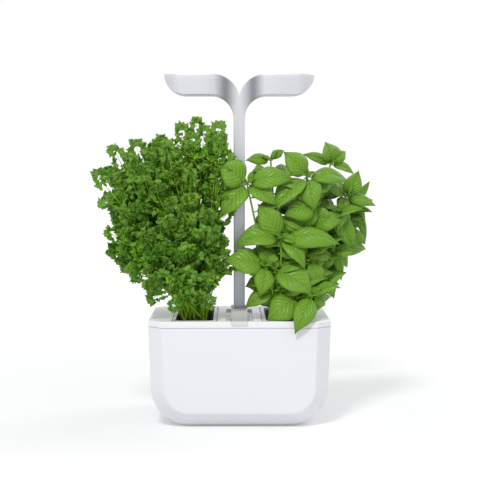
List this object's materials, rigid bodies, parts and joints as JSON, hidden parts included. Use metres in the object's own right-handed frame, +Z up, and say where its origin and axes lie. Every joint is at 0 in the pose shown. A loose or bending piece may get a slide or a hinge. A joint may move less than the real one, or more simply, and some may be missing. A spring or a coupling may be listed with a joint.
{
  "type": "countertop hydroponic garden",
  "caption": "Self-watering indoor planter: tapered tank casing, deck with lift-out growing pods, and a two-leaf grow lamp on a sliding stem.",
  "frame": {"origin": "middle of the footprint on the surface that the garden stands on", "axes": "+Z up, +X to the right seen from the front, +Y to the back"},
  "size_m": [0.3256, 0.1702, 0.3889],
  "materials": {
    "white_gloss": "smooth gloss white",
    "lid_gloss": "smooth satin white",
    "foot_rubber": "matt rubber",
    "tank_plastic": "matt moulded",
    "grey_plastic": "matt moulded",
    "screw_steel": "zinc plated",
    "box_plastic": "smooth satin white",
    "board_green": "solder mask",
    "inlet_black": "matt black",
    "lead_rubber": "matt black",
    "button_plastic": "satin",
    "clip_plastic": "fine satin grey-green",
    "brushed_aluminium": "brushed and clear anodised",
    "parsley_green": "leafy",
    "basil_green": "leafy",
    "diffuser_plastic": "frosted",
    "board_white": "white solder mask",
    "led_white": "clear lens over phosphor",
    "ribbon_plastic": "flat cable",
    "pod_plastic": "smooth satin white",
    "substrate_soil": "damp crumbly substrate",
    "wick_felt": "felt"
  },
  "bodies": {
    "casing": {"outer_casing": "white_gloss", "casing_feet": "foot_rubber"},
    "tank": {"water_tank": "tank_plastic"},
    "deck": {"deck_cover": "lid_gloss", "stem_guide": "grey_plastic", "guide_screws": "screw_steel", "electronics_box": "box_plastic", "box_screws": "screw_steel", "control_board": "board_green", "power_inlet": "inlet_black", "tact_switch": "inlet_black", "board_lead": "lead_rubber", "lamp_lead": "lead_rubber"},
    "lamp": {"lamp_front_shell": "brushed_aluminium", "lamp_rear_shell": "brushed_aluminium", "shell_screws": "screw_steel", "lamp_foot": "grey_plastic", "left_diffuser": "diffuser_plastic", "right_diffuser": "diffuser_plastic", "left_led_board": "board_white", "right_led_board": "board_white", "left_leds": "led_white", "right_leds": "led_white", "left_ribbon": "ribbon_plastic", "right_ribbon": "ribbon_plastic"},
    "clip": {"height_clip": "clip_plastic"},
    "button": {"power_button": "button_plastic"},
    "left_pod": {"left_pod_cup": "pod_plastic", "left_substrate": "substrate_soil", "left_wick": "wick_felt", "parsley_plant": "parsley_green"},
    "right_pod": {"right_pod_cup": "pod_plastic", "right_substrate": "substrate_soil", "right_wick": "wick_felt", "basil_plant": "basil_green"}
  },
  "joints": [
    {"name": "tank_lift", "type": "slide", "parent": "casing", "child": "tank", "axis": [0, 0, 1], "range_m": [0, 0.1]},
    {"name": "deck_lift", "type": "slide", "parent": "tank", "child": "deck", "axis": [0, 0, 1], "range_m": [0, 0.12]},
    {"name": "lamp_slide", "type": "slide", "parent": "deck", "child": "lamp", "axis": [0, 0, 1], "range_m": [-0.05, 0], "deforming": ["lamp_lead", "parsley_plant", "basil_plant"]},
    {"name": "clip_slide", "type": "slide", "parent": "deck", "child": "clip", "axis": [0, -1, 0], "range_m": [0, 0.03]},
    {"name": "button_press", "type": "slide", "parent": "deck", "child": "button", "axis": [0, -1, 0], "range_m": [0, 0.0015], "stiffness_N_per_m": 800},
    {"name": "left_pod_lift", "type": "slide", "parent": "deck", "child": "left_pod", "axis": [0, 0, 1], "range_m": [0, 0.05]},
    {"name": "right_pod_lift", "type": "slide", "parent": "deck", "child": "right_pod", "axis": [0, 0, 1], "range_m": [0, 0.05]}
  ]
}
